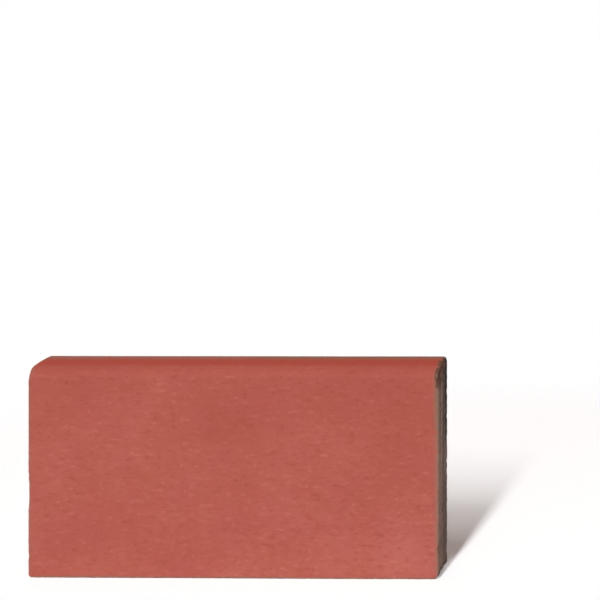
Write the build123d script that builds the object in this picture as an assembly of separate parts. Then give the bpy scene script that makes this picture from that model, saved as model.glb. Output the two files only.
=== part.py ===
from build123d import *
import math
import os

# Cement skirting tile: one pressed piece with a rounded top edge, standing on its long bottom edge.
# Millimetres, +Z up. The finished face looks along -Y, the bedding face that goes to the wall along +Y,
# and the length runs along X. The origin is the middle of the footprint, on the floor.

# Driving dimensions
LENGTH = 200.0  # along the wall, end to end
HEIGHT = 106.0  # floor to the crest of the nose, before its back edge is rounded
THICKNESS = 16.0  # finished face to bedding face

# The nose: the top edge falls to the finished face in an arc of an ellipse, upright where it meets the face
NOSE_FALL = 9.1  # from the crest down to where the flat face begins
NOSE_PAST = 5.0  # how far behind the bedding face the arc would come level, so the crest still rises there

# Worn and broken edges
FACE_ARRIS = 0.8  # rounding round the finished face and along the ends of the nose
CORNER_EASE = 0.9  # how much rounder the bottom corners are than the arris that runs into them
BACK_ARRIS = 0.3  # rounding round the bedding face

NEAR = 0.001  # how close a coordinate must be to count as the same


def tile_section():
    """The section across the tile, in Y and Z: a slab whose top front edge is the elliptical nose."""
    front = -THICKNESS / 2
    back = THICKNESS / 2
    spring = HEIGHT - NOSE_FALL
    reach = THICKNESS + NOSE_PAST
    crest_angle = 180 - math.degrees(math.acos(NOSE_PAST / reach))
    rise = NOSE_FALL / math.sin(math.radians(crest_angle))
    with BuildSketch(Plane.YZ) as section:
        with BuildLine():
            Polyline((front, spring), (front, 0), (back, 0), (back, HEIGHT))
            EllipticalCenterArc(
                (back + NOSE_PAST, spring),
                x_radius=reach,
                y_radius=rise,
                start_angle=crest_angle,
                arc_size=180 - crest_angle,
            )
        make_face()
    return section.sketch


def lies_on(edge, axis, value):
    """Whether an edge lies, over its whole length, in the plane where the axis has this value."""
    box = edge.bounding_box()
    low = getattr(box.min, axis)
    high = getattr(box.max, axis)
    return abs(low - value) < NEAR and abs(high - value) < NEAR


def bottom_corners(tile):
    """The two edges that run from face to back where the ends meet the bottom."""
    return [
        edge
        for edge in tile.edges()
        if lies_on(edge, "Z", 0) and (lies_on(edge, "X", LENGTH / 2) or lies_on(edge, "X", -LENGTH / 2))
    ]


def face_rim(tile):
    """The rim of the finished face and the ends of the nose, but not the line where face and nose meet."""
    spring = HEIGHT - NOSE_FALL
    front = -THICKNESS / 2
    back = THICKNESS / 2
    rim = []
    for edge in tile.edges():
        on_end = lies_on(edge, "X", LENGTH / 2) or lies_on(edge, "X", -LENGTH / 2)
        on_face = lies_on(edge, "Y", front) and not lies_on(edge, "Z", spring)
        on_nose = on_end and edge.center().Z > spring and not lies_on(edge, "Y", back)
        if on_face or on_nose:
            rim.append(edge)
    return rim


def back_rim(tile):
    """The rim of the bedding face."""
    return [edge for edge in tile.edges() if lies_on(edge, "Y", THICKNESS / 2)]


def skirting_tile():
    """The tile: the section drawn out to its length, then its corners, face rim and back rim rounded."""
    tile = extrude(tile_section(), amount=LENGTH / 2, both=True)
    tile = fillet(bottom_corners(tile), radius=FACE_ARRIS + CORNER_EASE)
    tile = fillet(face_rim(tile), radius=FACE_ARRIS)
    tile = fillet(back_rim(tile), radius=BACK_ARRIS)
    return tile


os.makedirs("parts", exist_ok=True)
export_step(skirting_tile(), "parts/skirting_tile.step")
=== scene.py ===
import math
from collections import namedtuple

import bpy
import numpy as np
from mathutils import Matrix, Vector, noise


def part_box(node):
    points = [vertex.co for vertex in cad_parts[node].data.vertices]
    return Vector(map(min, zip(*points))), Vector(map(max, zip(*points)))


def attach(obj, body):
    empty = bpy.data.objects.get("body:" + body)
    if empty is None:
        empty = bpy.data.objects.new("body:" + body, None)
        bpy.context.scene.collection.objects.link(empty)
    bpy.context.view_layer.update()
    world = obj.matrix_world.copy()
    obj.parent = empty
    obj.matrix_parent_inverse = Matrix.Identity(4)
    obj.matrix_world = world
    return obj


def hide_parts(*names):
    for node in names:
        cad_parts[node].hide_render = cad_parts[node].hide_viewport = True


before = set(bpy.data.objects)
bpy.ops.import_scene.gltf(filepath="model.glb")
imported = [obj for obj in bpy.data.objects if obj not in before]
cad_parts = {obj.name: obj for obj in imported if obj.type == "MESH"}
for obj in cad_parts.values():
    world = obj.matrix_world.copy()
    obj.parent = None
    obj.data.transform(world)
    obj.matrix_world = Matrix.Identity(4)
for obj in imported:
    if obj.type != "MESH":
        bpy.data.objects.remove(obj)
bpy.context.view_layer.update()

# A cement skirting tile in metres, +Z up, standing on its long bottom edge. The finished face looks along
# -Y, the bedding face along +Y, and the length runs along X. The photograph shows the face, the nose along
# its top, and the right end.

# The tile as the frame gives it
NODE = "skirting_tile"
MM = 0.001
TILE_LOW, TILE_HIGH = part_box(NODE)
LEFT, FRONT, FLOOR = TILE_LOW
RIGHT, BACK, CREST = TILE_HIGH
MIDDLE = (LEFT + RIGHT) / 2

# The section's own sizes, the same as in the part's source
NOSE_FALL = 9.1 * MM
NOSE_PAST = 5.0 * MM
FACE_ARRIS = 0.8 * MM
CORNER_ROUND = 1.7 * MM
BACK_ARRIS = 0.3 * MM

# The mesh: pitch of its lines along each axis, with finer lines along the edges
LENGTH_PITCH = 1.0 * MM
DEPTH_PITCH = 0.42 * MM
HEIGHT_PITCH = 0.85 * MM
EDGE_PITCH = 0.2 * MM
EDGE_WIDTH = 1.6 * MM
EVEN_ROUNDS = 24  # how often the directions of the relief are evened out from point to point
UNTANGLE_ROUNDS = 12  # how often points of quads that the relief turns over are moved back
UNTANGLE_FACING = 0.3  # cosine of the turn from which a quad counts as turned over
TINY = 1e-9  # keeps a length that is divided by from being zero
SHORT_OF_RIM = 1e-6  # how far short of the rim of the nose's unit circle the points stay

# Smooth noise over the tile: how large it gets, its wavelength, its octaves and its seed
Waves = namedtuple("Waves", "size length octaves seed")
OCTAVE_FALL = 1.0  # how fast the octaves get weaker
OCTAVE_RATIO = 2.0  # how much shorter each octave is than the one before
SEED_STEP = (17.3, 5.1, 11.7)  # how far the noise moves from seed to seed, in wavelengths

# Relief, all of it cut inwards from the plain form
SWAY = Waves(0.10 * MM, 45 * MM, 2, 1)  # long waves of the pressed form
SKIN = Waves(0.015 * MM, 2.5 * MM, 3, 2)  # unevenness of the pigmented skin
MORTAR = Waves(0.22 * MM, 3.2 * MM, 4, 3)  # rough bare mortar
CRUMBLE = Waves(0.25 * MM, 2.6 * MM, 3, 5)  # arrises of bare mortar that have crumbled
CRUMBLE_WIDTH = 1.5 * MM
# Holes left by air in the mortar
PORE_DEPTH = 0.45 * MM
PORE_SPACING = 5.5 * MM
PORE_RADIUS = 1.1 * MM
PORE_LEAST = 0.5  # the smallest hole's share of that radius
PORE_SEED = 7.3

# Losses that bare the mortar: middle, half sizes along X, Y and Z, and depth
LOSSES = [
    ((RIGHT, FRONT + 1.0 * MM, CREST - 6.8 * MM), (2.4 * MM, 6.0 * MM, 7.2 * MM), 0.75 * MM),
    ((RIGHT, FRONT + 7.0 * MM, CREST - 2.4 * MM), (2.6 * MM, 6.5 * MM, 3.4 * MM), 0.5 * MM),
    ((RIGHT, BACK - 3.5 * MM, CREST - 0.4 * MM), (2.0 * MM, 3.6 * MM, 1.6 * MM), 0.6 * MM),
    ((RIGHT, BACK, CREST), (1.6 * MM, 2.4 * MM, 1.8 * MM), 0.4 * MM),
    ((RIGHT, FRONT, 14.0 * MM), (0.9 * MM, 0.9 * MM, 2.2 * MM), 0.25 * MM),
]
LOSS_FULL = 0.55  # share of the half sizes within which a loss is at its deepest
LOSS_SHOWN = 0.1 * MM  # depth from which a loss has its full colour
# Hollows worn into the edges, which keep their colour
HOLLOWS = [
    ((LEFT, FRONT, 42.0 * MM), (3.0 * MM, 8.0 * MM, 11.0 * MM), 0.35 * MM),
    ((LEFT, FRONT, 10.5 * MM), (1.4 * MM, 1.6 * MM, 2.4 * MM), 0.25 * MM),
    ((LEFT, FRONT + 7.5 * MM, CREST - 1.5 * MM), (4.0 * MM, 7.0 * MM, 4.0 * MM), 0.18 * MM),
    ((LEFT, FRONT, CREST - 7.0 * MM), (3.0 * MM, 3.5 * MM, 4.5 * MM), 0.25 * MM),
    ((RIGHT, FRONT, FLOOR), (2.6 * MM, 3.0 * MM, 2.6 * MM), 0.4 * MM),
]
HOLLOW_FULL = 0.3
DENT_RAGGED = Waves(0.35, 2.2 * MM, 3, 9)  # how far losses, hollows and smears depart from ellipsoids
# Edges broken off: three points of the plane that each break follows, and how far it is hollowed out,
# most of all a quarter of the way from face to back
BREAKS = [
    ((RIGHT, BACK, 3.4 * MM), (RIGHT, FRONT, 0.4 * MM), (RIGHT - 3.2 * MM, BACK, FLOOR), 1.1 * MM),
]
BREAK_ROUGH = Waves(0.4 * MM, 3.0 * MM, 3, 6)
BREAK_RIM = 1.8 * MM  # how far the painted shade along a break's rim reaches past it
# share of that painted shade, where the broken edge turns under into shade
BREAK_RIM_SHADE = 0.85

# Noise from -1 to 1 that makes borders between colours ragged, each by its own amount
RAGGED = Waves(1, 3.0 * MM, 3, 4)
# The pigment: how squarely a surface looks to the front or up where it sets in and where it is full, and
# the depth up to which a loss or a break keeps it and from which it is gone
PIGMENT_FACING = (0.68, 0.9)
PIGMENT_RAGGED = 0.1
PIGMENT_KEPT = 0.12 * MM
PIGMENT_GONE = 0.3 * MM
BEDDING_FACING = (0.5, 0.8)  # the same for the bedding face, to the back
# The nose's deeper red: how far below the crest it ends, how soft that border is, and its trace lower down
BAND_FALL = 3.4 * MM
BAND_SOFT = 0.9 * MM
BAND_RAGGED = 0.4 * MM
BAND_TRACE = 0.25
# The worn strips along the ends of the face. The right one gets wider and browner between two heights, and
# between two more it fades on the nose
WORN_WIDTH = 2.4 * MM
WORN_WIDTH_HIGH = 3.3 * MM
WORN_FULL = 0.3  # share of a strip's width that is fully worn
WORN_RAGGED = 0.5 * MM
HIGH_FROM = 60 * MM
HIGH_BY = 85 * MM
HALF_SOFT = 10 * MM  # how far to the right of the middle the right half's own wear sets in fully
LEFT_WEAR = 0.4  # how far the strip along the left end is worn
NOSE_WEAR = 0.35  # how far the strip along the right end is worn where it runs up the nose
NOSE_WEAR_FROM = CREST - 1.5 * NOSE_FALL
NOSE_WEAR_BY = CREST - 0.5 * NOSE_FALL
# The worn strips along the bottom of the face and along the back of the crest
WORN_BOTTOM = 1.5 * MM
BOTTOM_RAGGED = 0.3 * MM
CREST_WIDTH = 8.0 * MM
CREST_FULL = 0.2
CREST_WEAR = 0.85
CREST_RAGGED = 0.8 * MM
# Painted shade on the right end's back arris, a dark band where only shade falls: its width on the end, what
# share of that runs round onto the back, how soft its border is, and the heights between which it sets in
ARRIS_SHADE_WIDTH = 5.2 * MM
ARRIS_SHADE_ROUND = 0.45
ARRIS_SHADE_SOFT = 2.6 * MM
ARRIS_SHADE_RAGGED = 1.2 * MM
ARRIS_SHADE_FROM = 58 * MM
ARRIS_SHADE_BY = 72 * MM
ARRIS_SHADE_FROM_RAGGED = 5 * MM
ARRIS_SHADE_FACING = (0.7, 0.3)  # how squarely a surface looks up where the painted shade ends and where it is full
# Lines of paler and darker mortar up the ends, parallel to the face: how far behind it each lies, its half
# width and its tone, and the heights between which they set in
END_LINES = [
    (3.6 * MM, 1.2 * MM, -0.5),
    (6.1 * MM, 0.9 * MM, 1.4),
    (9.3 * MM, 1.5 * MM, -0.65),
    (11.7 * MM, 0.8 * MM, 0.6),
]
LINES_FROM = 44 * MM
LINES_BY = 58 * MM
LINE_WANDER = Waves(0.7 * MM, 4 * MM, 2, 8)
LINE_RUN = (1, 1, 0.12)  # squeezes the points, so that the lines wander slowly on their way up
LINE_STRENGTH = 0.75
LINE_RAGGED = 0.5
# How far the pale ones fade towards the crest, and the heights between which they do
LINES_FADE = 0.6
FADE_FROM = 94 * MM
FADE_BY = 99 * MM
# Pale smears on the ends: middle, half sizes along X, Y and Z, and tone
SMEARS = [((RIGHT, BACK - 4.2 * MM, 56 * MM), (3.0 * MM, 5.5 * MM, 11.0 * MM), 0.6)]
SMEAR_FULL = 0.3


# Plain form of the tile

def lattice_line(start, end, pitch):
    """Places of the mesh's lines from start to end, finer along both edges."""
    edge_count = round(EDGE_WIDTH / EDGE_PITCH)
    inner_count = round((end - start - 2 * EDGE_WIDTH) / pitch)
    first = np.linspace(start, start + EDGE_WIDTH, edge_count, endpoint=False)
    inner = np.linspace(start + EDGE_WIDTH, end - EDGE_WIDTH, inner_count, endpoint=False)
    last = np.linspace(end - EDGE_WIDTH, end, edge_count + 1)
    return np.concatenate([first, inner, last])


def box_shell(counts):
    """The lattice points on the shell of a box, as indices, and the shell's quads wound outwards."""
    shell = np.ones(counts, bool)
    shell[1:-1, 1:-1, 1:-1] = False
    number = np.full(counts, -1)
    number[shell] = np.arange(shell.sum())
    quads = []
    for axis in range(3):
        for side in (0, -1):
            sheet = np.take(number, side, axis=axis)
            corners = [sheet[:-1, :-1], sheet[1:, :-1], sheet[1:, 1:], sheet[:-1, 1:]]
            if (side == 0) != (axis == 1):
                corners.reverse()
            quads.append(np.stack(corners, axis=-1).reshape(-1, 4))
    return np.argwhere(shell), np.concatenate(quads)


def round_edges(box):
    """Rounds every edge of the box except the top front one, which becomes the nose."""
    depth_share = (box[:, 1] - FRONT) / (BACK - FRONT)
    radius = (FACE_ARRIS + (BACK_ARRIS - FACE_ARRIS) * depth_share)[:, None]
    inner = np.clip(box, np.array(TILE_LOW) + radius, np.array(TILE_HIGH) - radius)
    past = box - inner
    at_nose = (past[:, 1] < 0) & (past[:, 2] > 0)
    across = np.where(at_nose, np.abs(past[:, 1:]).max(axis=1), np.hypot(past[:, 1], past[:, 2]))
    reach = np.hypot(past[:, 0], across)[:, None]
    return inner + past * radius / np.maximum(reach, TINY)


def round_corners(points):
    """Rounds the two bottom corners, where the ends meet the bottom edge."""
    inner = points.copy()
    inner[:, 0] = np.clip(points[:, 0], LEFT + CORNER_ROUND, RIGHT - CORNER_ROUND)
    inner[:, 2] = np.maximum(points[:, 2], FLOOR + CORNER_ROUND)
    past = points - inner
    reach = np.hypot(past[:, 0], past[:, 2])
    share = np.abs(past).max(axis=1) / np.maximum(reach, TINY)
    return inner + past * share[:, None]


def draw_nose(points):
    """Bends the square top front edge of the box into an arc of an ellipse that the back cuts off."""
    thickness = BACK - FRONT
    spring = CREST - NOSE_FALL
    reach = thickness + NOSE_PAST
    rise = NOSE_FALL / math.sqrt(1 - (NOSE_PAST / reach) ** 2)
    forward = (BACK - points[:, 1]) / thickness
    upward = np.clip((points[:, 2] - spring) / NOSE_FALL, 0, None)
    across = np.minimum(forward * np.sqrt(1 - upward**2 / 2), 1 - SHORT_OF_RIM)
    circle_height = np.sqrt(1 - across**2)
    arc_height = rise / NOSE_FALL * np.sqrt(1 - ((across * thickness + NOSE_PAST) / reach) ** 2)
    height = NOSE_FALL * upward * np.sqrt(1 - forward**2 / 2) * arc_height / circle_height
    bent = points.copy()
    bent[:, 1] = np.where(upward > 0, BACK - thickness * across, points[:, 1])
    bent[:, 2] = np.where(upward > 0, spring + height, points[:, 2])
    return bent


def plain_form():
    """The box's points that the form is bent from, the form's points, and its quads."""
    lines = [
        lattice_line(LEFT, RIGHT, LENGTH_PITCH),
        lattice_line(FRONT, BACK, DEPTH_PITCH),
        lattice_line(FLOOR, CREST, HEIGHT_PITCH),
    ]
    places, quads = box_shell([len(line) for line in lines])
    box = np.stack([lines[axis][places[:, axis]] for axis in range(3)], axis=1)
    return box, draw_nose(round_corners(round_edges(box))), quads


# Directions on the surface

def unit(vectors):
    """The vectors at length 1."""
    return vectors / np.linalg.norm(vectors, axis=1, keepdims=True)


def gather(vectors, quads, count):
    """The sum, at each point, of the vectors of the quads that meet there."""
    sums = np.zeros((count, 3))
    for corner in range(4):
        np.add.at(sums, quads[:, corner], vectors)
    return sums


def point_normals(points, quads):
    """Outward unit normal at each point."""
    across = points[quads[:, 2]] - points[quads[:, 0]]
    along = points[quads[:, 3]] - points[quads[:, 1]]
    return unit(gather(np.cross(across, along), quads, len(points)))


def even_out(normals, quads):
    """The normals evened out along the surface, so that points at an edge move inwards side by side."""
    for _ in range(EVEN_ROUNDS):
        normals = unit(gather(normals[quads].mean(axis=1), quads, len(normals)))
    return normals


def worst_facing(points, quads, outwards):
    """How squarely each quad faces outwards at its worst corner: 1 at best, and below 0 if turned over."""
    wanted = unit(outwards[quads].mean(axis=1))
    worst = np.ones(len(quads))
    for corner in range(4):
        here = points[quads[:, corner]]
        after = points[quads[:, (corner + 1) % 4]] - here
        before = points[quads[:, corner - 1]] - here
        worst = np.minimum(worst, np.sum(unit(np.cross(after, before)) * wanted, axis=1))
    return worst


def untangle(points, quads, outwards):
    """Moves the points of quads that the relief has turned over to the middle of their neighbours."""
    meeting = np.bincount(quads.ravel())[:, None]
    for _ in range(UNTANGLE_ROUNDS):
        turned = np.unique(quads[worst_facing(points, quads, outwards) < UNTANGLE_FACING])
        middles = gather(points[quads].mean(axis=1), quads, len(points)) / meeting
        points[turned] = middles[turned]
    return points


# Relief and damage

def smooth(start, end, values):
    """0 up to start, 1 past end, and a smooth step between them. The end may be the lower one."""
    t = np.clip((values - start) / (end - start), 0, 1)
    return t * t * (3 - 2 * t)


def field(points, waves):
    """Smooth noise at each point, from minus to plus the waves' size."""
    away = Vector([step * waves.seed for step in SEED_STEP])
    places = [Vector(point) / waves.length + away for point in points]
    values = [noise.fractal(place, OCTAVE_FALL, OCTAVE_RATIO, waves.octaves) for place in places]
    return waves.size * np.clip(values, -1, 1)


def edge_distance(box):
    """Distance of each point of the box's shell from the nearest edge, where the nose is no edge."""
    ends = np.minimum(box[:, 0] - LEFT, RIGHT - box[:, 0])
    front = box[:, 1] - FRONT
    back = BACK - box[:, 1]
    bottom = box[:, 2] - FLOOR
    top = CREST - box[:, 2]
    outline = np.minimum.reduce([front, back, bottom, top])
    edges = [
        np.maximum(ends, outline),
        np.maximum(front, bottom),
        np.maximum(back, bottom),
        np.maximum(back, top),
    ]
    return np.minimum.reduce(edges)


def pores(points):
    """1 in the middle of each air hole and 0 outside, for some of the cells that the noise gives."""
    result = np.zeros(len(points))
    for i, point in enumerate(points):
        distances, middles = noise.voronoi(Vector(point) / PORE_SPACING)
        chosen = noise.cell(middles[0] * PORE_SEED)
        size = PORE_RADIUS / PORE_SPACING * (PORE_LEAST + (1 - PORE_LEAST) * abs(chosen))
        if chosen > 0:
            result[i] = max(0.0, 1 - (distances[0] / size) ** 2)
    return result


def dents(points, places, full):
    """Depth or tone of the listed places at each point, whole within this share of their half sizes."""
    ragged = 1 + field(points, DENT_RAGGED)
    depth = np.zeros(len(points))
    for middle, half, most in places:
        reach = np.linalg.norm((points - np.array(middle)) / np.array(half), axis=1) * ragged
        depth = np.maximum(depth, most * smooth(1.0, full, reach))
    return depth


def break_off(points):
    """Cuts away what lies past each break, and tells how far past one each point was."""
    rough = field(points, BREAK_ROUGH)
    across = np.sqrt(np.clip((points[:, 1] - FRONT) / (BACK - FRONT), 0, 1))
    furthest = np.full(len(points), -CREST)
    for first, second, third, hollow in BREAKS:
        normal = np.cross(np.subtract(second, first), np.subtract(third, first))
        normal /= np.linalg.norm(normal)
        arch = hollow * 4 * across * (1 - across)
        past = (points - np.array(first)) @ normal + arch + rough
        points = points - np.clip(past, 0, None)[:, None] * normal
        furthest = np.maximum(furthest, past)
    return points, furthest


def cut_depth(points, box, pigment, holes, lost):
    """How deep all the relief together cuts at each point."""
    bare = 1 - pigment
    near_edge = smooth(CRUMBLE_WIDTH, 0, edge_distance(box))
    depth = (SWAY.size + field(points, SWAY)) / 2
    depth += pigment * (SKIN.size + field(points, SKIN)) / 2
    depth += bare * (MORTAR.size + field(points, MORTAR)) / 2
    depth += bare * near_edge * np.clip(field(points, CRUMBLE), 0, None)
    depth += PORE_DEPTH * holes
    return depth + np.maximum(lost, dents(points, HOLLOWS, HOLLOW_FULL))


# Masks of what the material shows at each point

def pigment_left(normals, ragged, damage):
    """Where the surface has its pigment: on the face and the nose, unless damage has cut it off."""
    facing = np.hypot(np.minimum(normals[:, 1], 0), np.maximum(normals[:, 2], 0))
    skin = smooth(*PIGMENT_FACING, facing + PIGMENT_RAGGED * ragged)
    return skin * smooth(PIGMENT_GONE, PIGMENT_KEPT, damage)


def nose_band(points, ragged):
    """Where the nose has its deeper red."""
    above_border = points[:, 2] - (CREST - BAND_FALL) + BAND_RAGGED * ragged
    trace = BAND_TRACE * smooth(CREST - NOSE_FALL, CREST - BAND_FALL, points[:, 2])
    return np.maximum(trace, smooth(-BAND_SOFT, BAND_SOFT, above_border))


def high_on_right(points):
    """The upper part of the right half."""
    return smooth(HIGH_FROM, HIGH_BY, points[:, 2]) * smooth(MIDDLE, MIDDLE + HALF_SOFT, points[:, 0])


def wear(points, ragged, high_up):
    """How far the red is worn off along the ends and the bottom of the face and along the crest."""
    from_end = np.minimum(points[:, 0] - LEFT, RIGHT - points[:, 0])
    width = WORN_WIDTH + (WORN_WIDTH_HIGH - WORN_WIDTH) * high_up
    ends = smooth(width, WORN_FULL * width, from_end + WORN_RAGGED * ragged)
    right_wear = 1 - (1 - NOSE_WEAR) * smooth(NOSE_WEAR_FROM, NOSE_WEAR_BY, points[:, 2])
    ends *= np.where(points[:, 0] < MIDDLE, LEFT_WEAR, right_wear)
    from_floor = points[:, 2] - FLOOR + BOTTOM_RAGGED * ragged
    bottom = smooth(WORN_BOTTOM, WORN_FULL * WORN_BOTTOM, from_floor)
    from_back = BACK - points[:, 1] + CREST_RAGGED * ragged
    crest = CREST_WEAR * smooth(CREST_WIDTH, CREST_FULL * CREST_WIDTH, from_back)
    return np.maximum.reduce([ends, bottom, crest])


def painted_shades(points, normals, ragged, broken):
    """Painted shade: a dark band along the right end's back arris, and dark rims along the breaks."""
    sideways = (RIGHT - points[:, 0]) / ARRIS_SHADE_ROUND
    from_arris = np.hypot(BACK - points[:, 1], sideways) + ARRIS_SHADE_RAGGED * ragged
    painted_shade = smooth(ARRIS_SHADE_WIDTH, ARRIS_SHADE_WIDTH - ARRIS_SHADE_SOFT, from_arris)
    painted_shade *= smooth(ARRIS_SHADE_FROM, ARRIS_SHADE_BY, points[:, 2] + ARRIS_SHADE_FROM_RAGGED * ragged)
    painted_shade *= smooth(*ARRIS_SHADE_FACING, normals[:, 2])
    # painted shade along the rims of the breaks
    rim = smooth(-BREAK_RIM, 0, broken) * smooth(2 * BREAK_RIM, 0, broken)
    return np.maximum(painted_shade, BREAK_RIM_SHADE * rim)


def end_lines(points, ragged):
    """Tone of the lines up the ends, dark below 0 and pale above it."""
    behind = points[:, 1] - FRONT + field(points * np.array(LINE_RUN), LINE_WANDER)
    tone = np.zeros(len(points))
    for middle, half_width, strength in END_LINES:
        tone += strength * np.exp(-(((behind - middle) / half_width) ** 2))
    tone = np.minimum(tone, tone * (1 - LINES_FADE * smooth(FADE_FROM, FADE_BY, points[:, 2])))
    return tone * smooth(LINES_FROM, LINES_BY, points[:, 2]) * (LINE_STRENGTH + LINE_RAGGED * ragged)


def make_tile():
    """The whole tile as one closed mesh, with masks of what its material shows at each point."""
    box, points, quads = plain_form()
    points, broken = break_off(points)
    normals = point_normals(points, quads)
    ragged = field(points, RAGGED)
    lost = dents(points, LOSSES, LOSS_FULL)
    pigment = pigment_left(normals, ragged, np.maximum(lost, broken))
    holes = (1 - pigment) * pores(points)
    high_up = high_on_right(points)
    bedding = smooth(*BEDDING_FACING, normals[:, 1])
    masks = {
        "pigment": pigment,
        "band": nose_band(points, ragged),
        "worn": wear(points, ragged, high_up),
        "worn_high": high_up,
        "lost": smooth(0, LOSS_SHOWN, lost),
        "hole": holes,
        "bedding": bedding,
        "line": end_lines(points, ragged) + dents(points, SMEARS, SMEAR_FULL) * (1 - bedding),
        "painted_shade": painted_shades(points, normals, ragged, broken),
    }

    outwards = even_out(normals, quads)
    cut = cut_depth(points, box, pigment, holes, lost)
    points = np.clip(points - outwards * cut[:, None], np.array(TILE_LOW), np.array(TILE_HIGH))
    points = untangle(points, quads, outwards)

    mesh = bpy.data.meshes.new("tile")
    mesh.from_pydata(points.tolist(), [], quads.tolist())
    mesh.shade_smooth()
    for name, values in masks.items():
        mesh.attributes.new(name, "FLOAT", "POINT").data.foreach_set("value", values.astype(np.float32))
    tile = bpy.data.objects.new("tile", mesh)
    bpy.context.collection.objects.link(tile)
    tile.data.materials.append(cement_material())
    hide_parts(NODE)
    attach(tile, "root")


# Material of the tile: colours in linear light, lengths of its noise in millimetres

RED = (0.447, 0.1056, 0.083, 1)
RED_PALE = (0.551, 0.164, 0.1375, 1)
RED_DARK = (0.3665, 0.0735, 0.0546, 1)
RED_BAND = (0.430, 0.066, 0.040, 1)
TAWNY = (0.955, 1.06, 0.77, 1)  # the red's colour times this, at most, in its tawny clouds
WORN = (0.340, 0.156, 0.112, 1)
WORN_HIGH = (0.265, 0.150, 0.098, 1)
# the bared mortar in a loss, darker brown partly as its own tone and partly as painted shade in the chip
LOSS_SHADE_BROWN = (0.172, 0.076, 0.046, 1)
MORTAR_FRONT = (0.462, 0.306, 0.240, 1)
MORTAR_BACK = (0.242, 0.175, 0.146, 1)
MORTAR_DARK = (0.050, 0.036, 0.030, 1)
# the near-black of the painted shade along the right end's back arris and on the rims of the breaks
PAINTED_SHADE_DARK = (0.024, 0.018, 0.014, 1)
BEDDING = (0.330, 0.262, 0.218, 1)
SAND_PALE = (0.520, 0.410, 0.330, 1)

# Clouds: length, detail and roughness of their noise, its values where they set in and where they are full,
# and what they give before and after that
Clouds = namedtuple("Clouds", "length detail rough start end least most")
TAWNY_CLOUDS = Clouds(20, 4.0, 0.6, 0.25, 0.75, 0.0, 0.42)  # a tawnier red
WORN_CLOUDS = Clouds(2.5, 3.0, 0.5, 0.25, 0.5, 0.0, 1.0)  # patches of the worn strips
DARK_CLOUDS = [  # darker mortar, in large clouds and in small ones
    Clouds(16, 4.0, 0.6, 0.42, 0.72, 0.0, 0.35),
    Clouds(2.6, 3.0, 0.6, 0.5, 0.75, 0.0, 0.35),
]
SHADE_BLOTCHES = Clouds(3, 3.0, 0.5, 0.35, 0.6, 0.86, 1.0)  # blotches in the painted shade

# Mottling of the red: length and weight
MOTTLE = [(55, 1.10), (18, 0.33), (9, 0.22), (4.5, 0.25), (2.4, 0.30), (1.2, 0.38)]
MOTTLE_DETAIL = 1.0
DRAWN_OUT = 2.3  # how much longer than high the flecks and the finer mottling are
DRAWN_OUT_BELOW = 10  # the length below which the mottling counts as fine
DRAWN_OUT_SHIFT = (40, 0, 0)  # keeps their noise from lining up with that of the coarser mottling
PAINTED_BOUNCE_DOWN = 4.0  # tone gained per metre towards the bottom edge, painted light for the floor's bounce
BAND_SHARE = 0.85
# Sparse flecks with crisp borders: values of the noise where each kind sets in and is full, and its tone
FLECK_LENGTH = 1.9
FLECKS = [(0.60, 0.76, 0.42), (0.41, 0.25, -0.42)]
# A pale grain or a dark pit here and there: the values of a cell's random number that give each kind, and
# its tone
SPECK_SPACING = 5.0
SPECK_RADIUS = 0.13  # in spacings
SPECKS = [(0.0, 0.4, 0.5), (0.5, 1.0, -0.5)]

# The mortar's two tones: how far their border wanders, and the places along Y between which they change
# over, with that added
UPRIGHT = (1, 1, 7)  # how far streaks in the mortar are drawn out along each axis
TONE_WANDER = 7 * MM
TONE_LENGTH = 5
TONE_DETAIL = 3.0
TONE_FROM = 1.5 * MM
TONE_BY = 4.5 * MM
# Mortar darker towards the crest and the floor: the heights between which each reach of it sets in, and its
# share
DARKER_HIGH_LOW = [(84 * MM, 99 * MM, 0.78), (58 * MM, 73 * MM, 0.29), (50 * MM, 38 * MM, 0.24)]
LINE_PALE = 0.5  # share of the pale sand's colour in a pale line of tone 1
LINE_DARK = 0.6  # share of the dark mortar's colour in a dark line of tone -1
LOSS_SHARE = 0.9
# share of dark mortar painted into the air holes, as painted shade in them
HOLE_SHADE = 0.7
# Sand: the values of a cell's random number where each kind sets in and is full, its share and its colour
SAND_SIZE = 0.8
SANDS = [(0.6, 1.0, 0.16, SAND_PALE), (0.4, 0.0, 0.22, MORTAR_DARK)]
# Grit: the values of a cell's random number that give each kind, its radius in spacings, its share and its
# colour
GRIT_SPACING = 2.4
GRITS = [(0.0, 0.2, 0.4, 0.22, SAND_PALE), (0.8, 1.0, 0.36, 0.4, MORTAR_DARK)]
GRAIN_CORE = 0.6  # share of a grain's radius that is at full strength

# The border between pigment and bare mortar: how far noise frays it, and where it sets in and is full
FRAY_LENGTH = 0.8
FRAY = 0.5
FRAYED_FROM = 0.65
FRAYED_BY = 0.85
# Gloss and grain
SPECULAR = 0.2
MORTAR_ROUGHNESS = 0.95
SKIN_ROUGHNESS = 0.78
GRAIN_LENGTH = 0.7
GRAIN_DETAIL = 3.0
SKIN_GRAIN = 0.12  # how much of the mortar's grain the pigmented skin has
BUMP_STRENGTH = 0.6
BUMP_DISTANCE = 0.4 * MM


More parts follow.
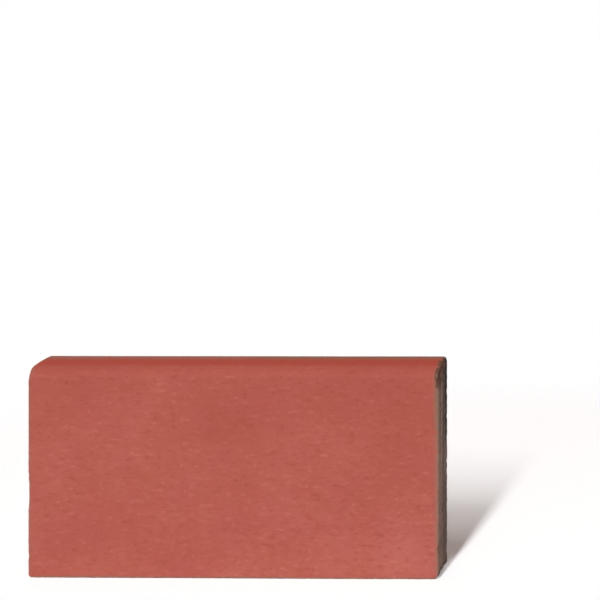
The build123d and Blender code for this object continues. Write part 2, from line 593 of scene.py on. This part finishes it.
class Nodes:
    """Short ways to add and join shader nodes."""

    def __init__(self, tree):
        self.tree = tree
        tree.nodes.clear()

    def add(self, kind, **settings):
        """A new node with these settings."""
        node = self.tree.nodes.new(kind)
        for name, value in settings.items():
            setattr(node, name, value)
        return node

    def join(self, source, target):
        """Joins an output to an input."""
        self.tree.links.new(source, target)

    def put(self, value, socket):
        """Joins an output to the socket, or sets a plain value on it."""
        if isinstance(value, bpy.types.NodeSocket):
            self.join(value, socket)
        else:
            socket.default_value = value

    def mask(self, name):
        """One of the masks that the mesh carries."""
        return self.add("ShaderNodeAttribute", attribute_name=name).outputs["Fac"]

    def maths(self, operation, first, second=0.0, third=0.0):
        """The result of one operation on up to three numbers."""
        node = self.add("ShaderNodeMath", operation=operation)
        for value, socket in zip((first, second, third), node.inputs):
            self.put(value, socket)
        return node.outputs[0]

    def times(self, first, second):
        """The product of two numbers."""
        return self.maths("MULTIPLY", first, second)

    def spread(self, value, start, end, least=0.0, most=1.0):
        """Maps start to end smoothly onto least to most."""
        node = self.add("ShaderNodeMapRange", interpolation_type="SMOOTHSTEP")
        self.put(value, node.inputs["Value"])
        for name, number in (("From Min", start), ("From Max", end), ("To Min", least), ("To Max", most)):
            node.inputs[name].default_value = number
        return node.outputs["Result"]

    def blend(self, factor, first, second, way="MIX"):
        """The second colour laid over the first by this factor, in this way."""
        node = self.add("ShaderNodeMix", data_type="RGBA", blend_type=way)
        self.put(factor, node.inputs["Factor"])
        self.put(first, node.inputs["A"])
        self.put(second, node.inputs["B"])
        return node.outputs["Result"]

    def place(self, stretch=(1, 1, 1), shift=(0, 0, 0)):
        """The point on the object in millimetres, squeezed by stretch."""
        where = self.add("ShaderNodeTexCoord").outputs["Object"]
        node = self.add("ShaderNodeMapping")
        self.join(where, node.inputs["Vector"])
        node.inputs["Scale"].default_value = [1 / MM / s for s in stretch]
        node.inputs["Location"].default_value = shift
        return node.outputs["Vector"]

    def along(self, axis):
        """The point's place along one axis, in metres."""
        node = self.add("ShaderNodeSeparateXYZ")
        self.join(self.add("ShaderNodeTexCoord").outputs["Object"], node.inputs["Vector"])
        return node.outputs[axis]

    def noise(self, where, length, detail=2.0, rough=0.5):
        """Noise from 0 to 1 about 0.5, with features of about this many millimetres."""
        node = self.add("ShaderNodeTexNoise")
        self.join(where, node.inputs["Vector"])
        node.inputs["Scale"].default_value = 1 / length
        node.inputs["Detail"].default_value = detail
        node.inputs["Roughness"].default_value = rough
        return node.outputs["Fac"]

    def clouds(self, where, kind):
        """Clouds of this kind."""
        value = self.noise(where, kind.length, kind.detail, kind.rough)
        return self.spread(value, kind.start, kind.end, kind.least, kind.most)

    def cells(self, where, spacing):
        """A random number for each cell of about this many millimetres, and the distance from its middle."""
        node = self.add("ShaderNodeTexVoronoi")
        self.join(where, node.inputs["Vector"])
        node.inputs["Scale"].default_value = 1 / spacing
        chance = self.add("ShaderNodeSeparateXYZ")
        self.join(node.outputs["Color"], chance.inputs["Vector"])
        return chance.outputs["X"], node.outputs["Distance"]

    def grains(self, cells, least, most, radius):
        """1 within the round grains of the cells whose random number lies from least to most, else 0."""
        chance, distance = cells
        chosen = self.maths("COMPARE", chance, (least + most) / 2, (most - least) / 2)
        return self.times(chosen, self.spread(distance, radius, GRAIN_CORE * radius))


def red_colour(n):
    """Pigmented cement: one red, paler and darker in clouds and in flecks drawn out along the length."""
    even = n.place()
    drawn_out = n.place(stretch=(DRAWN_OUT, 1, 1), shift=DRAWN_OUT_SHIFT)
    middle = 0.5 * sum(weight for length, weight in MOTTLE) - PAINTED_BOUNCE_DOWN * CREST / 2
    # painted light: the red paler towards the bottom edge, for the floor's bounce
    tone = n.maths("MULTIPLY_ADD", n.along("Z"), -PAINTED_BOUNCE_DOWN, -middle)
    for length, weight in MOTTLE:
        where = drawn_out if length < DRAWN_OUT_BELOW else even
        tone = n.maths("MULTIPLY_ADD", n.noise(where, length, MOTTLE_DETAIL), weight, tone)
    flecks = n.noise(drawn_out, FLECK_LENGTH, MOTTLE_DETAIL)
    for start, end, weight in FLECKS:
        tone = n.maths("MULTIPLY_ADD", n.spread(flecks, start, end), weight, tone)
    specks = n.cells(even, SPECK_SPACING)
    for least, most, weight in SPECKS:
        tone = n.maths("MULTIPLY_ADD", n.grains(specks, least, most, SPECK_RADIUS), weight, tone)
    colour = n.blend(tone, RED, RED_PALE)
    colour = n.blend(n.times(tone, -1.0), colour, RED_DARK)
    colour = n.blend(n.clouds(even, TAWNY_CLOUDS), colour, TAWNY, "MULTIPLY")
    return n.blend(n.times(n.mask("band"), BAND_SHARE), colour, RED_BAND)


def mortar_colour(n):
    """Bare mortar: two tones from face to back, darker in places, with sand, grit and painted shade at holes
    and edges.
    """
    even = n.place()
    upright = n.place(stretch=UPRIGHT)
    depth = n.maths("MULTIPLY_ADD", n.noise(upright, TONE_LENGTH, TONE_DETAIL), TONE_WANDER, n.along("Y"))
    colour = n.blend(n.spread(depth, TONE_FROM, TONE_BY), MORTAR_FRONT, MORTAR_BACK)
    darker_share = 0.0
    for start, end, share in DARKER_HIGH_LOW:
        darker_share = n.maths("MAXIMUM", darker_share, n.spread(n.along("Z"), start, end, 0.0, share))
    colour = n.blend(darker_share, colour, MORTAR_DARK)
    line = n.mask("line")
    colour = n.blend(n.times(line, LINE_PALE), colour, SAND_PALE)
    colour = n.blend(n.times(line, -LINE_DARK), colour, MORTAR_DARK)
    colour = n.blend(n.mask("bedding"), colour, BEDDING)
    # losses in a darker brown: bared mortar, and painted shade in the chips
    colour = n.blend(n.times(n.mask("lost"), LOSS_SHARE), colour, LOSS_SHADE_BROWN)
    for kind in DARK_CLOUDS:
        colour = n.blend(n.clouds(even, kind), colour, MORTAR_DARK)
    chance, _ = n.cells(even, SAND_SIZE)
    for start, end, share, sand_colour in SANDS:
        colour = n.blend(n.spread(chance, start, end, 0.0, share), colour, sand_colour)
    grit = n.cells(even, GRIT_SPACING)
    for least, most, radius, share, grit_colour in GRITS:
        colour = n.blend(n.times(n.grains(grit, least, most, radius), share), colour, grit_colour)
    # painted shade in the air holes
    colour = n.blend(n.times(n.mask("hole"), HOLE_SHADE), colour, MORTAR_DARK)
    # painted shade in blotches: near-black along the right end's back arris and on the rims of the breaks
    return n.blend(n.times(n.mask("painted_shade"), n.clouds(upright, SHADE_BLOTCHES)), colour, PAINTED_SHADE_DARK)


def cement_material():
    """Red pigmented cement, worn along the edges, and bare mortar where the pigment ends or is lost."""
    material = bpy.data.materials.new("pigmented_cement")
    material.use_nodes = True
    n = Nodes(material.node_tree)
    even = n.place()
    worn = n.times(n.mask("worn"), n.clouds(even, WORN_CLOUDS))
    worn_colour = n.blend(n.mask("worn_high"), WORN, WORN_HIGH)
    red = n.blend(worn, red_colour(n), worn_colour)
    frayed = n.maths("MULTIPLY_ADD", n.noise(even, FRAY_LENGTH), FRAY, n.mask("pigment"))
    skin = n.spread(frayed, FRAYED_FROM, FRAYED_BY)

    shader = n.add("ShaderNodeBsdfPrincipled")
    n.join(n.blend(skin, mortar_colour(n), red), shader.inputs["Base Color"])
    shader.inputs["Specular IOR Level"].default_value = SPECULAR
    n.join(n.spread(skin, 0.0, 1.0, MORTAR_ROUGHNESS, SKIN_ROUGHNESS), shader.inputs["Roughness"])
    grain = n.noise(even, GRAIN_LENGTH, GRAIN_DETAIL)
    bump = n.add("ShaderNodeBump")
    bump.inputs["Strength"].default_value = BUMP_STRENGTH
    bump.inputs["Distance"].default_value = BUMP_DISTANCE
    n.join(n.times(grain, n.spread(skin, 0.0, 1.0, 1.0, SKIN_GRAIN)), bump.inputs["Height"])
    n.join(bump.outputs["Normal"], shader.inputs["Normal"])
    output = n.add("ShaderNodeOutputMaterial")
    n.join(shader.outputs["BSDF"], output.inputs["Surface"])
    return material


# Floor, surround and lamps

FLOOR_SIZE = 30.0
FLOOR_DROP = 0.02 * MM  # how far below the tile's bottom edge the floor lies
FLOOR_GREY = (0.90, 0.90, 0.90, 1)  # for the light that it throws back
FLOOR_SEEN = (1.63, 1.68, 1.71, 1)  # to look at, so that it shows white where no shadow falls
WHITE = (1, 1, 1, 1)
WHITE_FROM = 0.35  # distance from the tile's middle at which the floor begins to go white
WHITE_BY = 0.75
WHITE_AHEAD_FROM = 2 * MM  # the same in front of the face, where the photograph shows no tint on the floor
WHITE_AHEAD_BY = 25 * MM
CORNER_PAINTED_LIGHT = 0.35  # share of white painted over the shadow's edge beside the right end, painted light on the shadow
CORNER_WIDTH = 4.0 * MM
CORNER_FROM = 42 * MM  # how far behind the face that begins
CORNER_BY = 25 * MM
FILL = (0.190, 0.152, 0.138, 1)  # the surround's light on everything

# Each lamp: name, azimuth and elevation in degrees, distance, width, height, and level of light
LAMPS = [
    ("low_strip", 0, 33, 12.0, 0.84, 5.5, 0.54),
    ("high_strip", 0, 58, 12.0, 0.84, 5.5, 0.18),
    ("front", -10, 8, 4.0, 2.0, 1.0, 0.08),
    ("behind", 205, 2.2, 4.0, 2.0, 0.3, 0.24),
]


def seen_directly(n):
    """1 for rays from the camera, mirror rays and rays through glass, 0 for light that falls on things."""
    path = n.add("ShaderNodeLightPath")
    seen = n.maths("MAXIMUM", path.outputs["Is Camera Ray"], path.outputs["Is Glossy Ray"])
    return n.maths("MAXIMUM", seen, path.outputs["Is Transmission Ray"])


def floor_material():
    """A pale grey that keeps the shadow near the tile and goes over into the white surround."""
    material = bpy.data.materials.new("floor")
    material.use_nodes = True
    n = Nodes(material.node_tree)
    seen = seen_directly(n)
    diffuse = n.add("ShaderNodeBsdfDiffuse")
    n.join(n.blend(seen, FLOOR_GREY, FLOOR_SEEN), diffuse.inputs["Color"])
    white = n.add("ShaderNodeEmission")
    white.inputs["Color"].default_value = WHITE
    distance = n.add("ShaderNodeVectorMath", operation="LENGTH")
    n.join(n.add("ShaderNodeTexCoord").outputs["Object"], distance.inputs[0])
    far = n.spread(distance.outputs["Value"], WHITE_FROM, WHITE_BY)
    ahead = n.spread(n.along("Y"), FRONT - WHITE_AHEAD_FROM, FRONT - WHITE_AHEAD_BY)
    # painted light: beside the right end, white is laid over the shadow's edge
    beside = n.spread(n.along("X"), RIGHT - CORNER_WIDTH, RIGHT, 0.0, CORNER_PAINTED_LIGHT)
    corner = n.times(beside, n.spread(n.along("Y"), FRONT + CORNER_FROM, FRONT + CORNER_BY))
    paler = n.maths("MAXIMUM", n.maths("MAXIMUM", far, ahead), corner)
    mix = n.add("ShaderNodeMixShader")
    n.join(n.times(paler, seen), mix.inputs["Fac"])
    n.join(diffuse.outputs["BSDF"], mix.inputs[1])
    n.join(white.outputs["Emission"], mix.inputs[2])
    output = n.add("ShaderNodeOutputMaterial")
    n.join(mix.outputs["Shader"], output.inputs["Surface"])
    return material


def make_floor():
    """A wide floor under the tile."""
    half = FLOOR_SIZE / 2
    corners = [(-half, -half, 0), (half, -half, 0), (half, half, 0), (-half, half, 0)]
    mesh = bpy.data.meshes.new("floor")
    mesh.from_pydata(corners, [], [(0, 1, 2, 3)])
    mesh.materials.append(floor_material())
    floor = bpy.data.objects.new("floor", mesh)
    floor.location.z = FLOOR - FLOOR_DROP
    bpy.context.collection.objects.link(floor)


def make_world():
    """White to look at, and an even, slightly warm fill light on everything else."""
    world = bpy.data.worlds.new("surround")
    world.use_nodes = True
    bpy.context.scene.world = world
    n = Nodes(world.node_tree)
    light = n.add("ShaderNodeBackground")
    n.join(n.blend(seen_directly(n), FILL, WHITE), light.inputs["Color"])
    output = n.add("ShaderNodeOutputWorld")
    n.join(light.outputs["Background"], output.inputs["Surface"])


def make_lamp(name, azimuth, elevation, distance, width, height, level):
    """A soft lamp that gives a surface square to it this level of light, where 1 shows a colour as it is."""
    lamp = bpy.data.lights.new(name, "AREA")
    lamp.shape = "RECTANGLE"
    lamp.size = width
    lamp.size_y = height
    lamp.energy = level * math.pi**2 * distance**2
    holder = bpy.data.objects.new(name, lamp)
    a = math.radians(azimuth)
    e = math.radians(elevation)
    away = Vector((math.sin(a) * math.cos(e), -math.cos(a) * math.cos(e), math.sin(e)))
    holder.location = (TILE_LOW + TILE_HIGH) / 2 + away * distance
    holder.rotation_euler = away.to_track_quat("Z", "Y").to_euler()
    holder.visible_camera = False
    bpy.context.collection.objects.link(holder)


# Camera: the photograph was straightened, so its picture plane lies along the tile's face, while the
# eye stands to the right of the tile and above it

FRAME_PX = 600
FOCAL_PX = 859.5
AHEAD_PX = (665.8, 261.6)  # the pixel straight ahead of the eye, outside the frame
EYE = Vector((0.2146, FRONT - 0.4126, 0.1533))
TURN = math.radians(0.72)  # of the picture plane from the tile's face


def make_camera():
    """A camera on a stand whose axes are sheared, so that it looks past its own picture plane's normal."""
    right = Vector((math.cos(TURN), math.sin(TURN), 0))
    up = Vector((0, 0, 1))
    ahead = up.cross(right)
    middle_px = FRAME_PX / 2
    to_middle = ahead + (right * (middle_px - AHEAD_PX[0]) + up * (AHEAD_PX[1] - middle_px)) / FOCAL_PX
    data = bpy.data.cameras.new("camera")
    data.lens = data.sensor_width * FOCAL_PX * to_middle.length / FRAME_PX
    camera = bpy.data.objects.new("camera", data)
    stand = bpy.data.objects.new("camera_stand", None)
    stand.location = EYE
    camera.parent = stand
    camera.matrix_parent_inverse = Matrix((right, up, -to_middle.normalized())).transposed().to_4x4()
    bpy.context.collection.objects.link(stand)
    bpy.context.collection.objects.link(camera)
    bpy.context.scene.camera = camera


make_tile()
make_floor()
make_world()
for lamp_row in LAMPS:
    make_lamp(*lamp_row)
make_camera()
bpy.context.scene.view_settings.view_transform = "Standard"
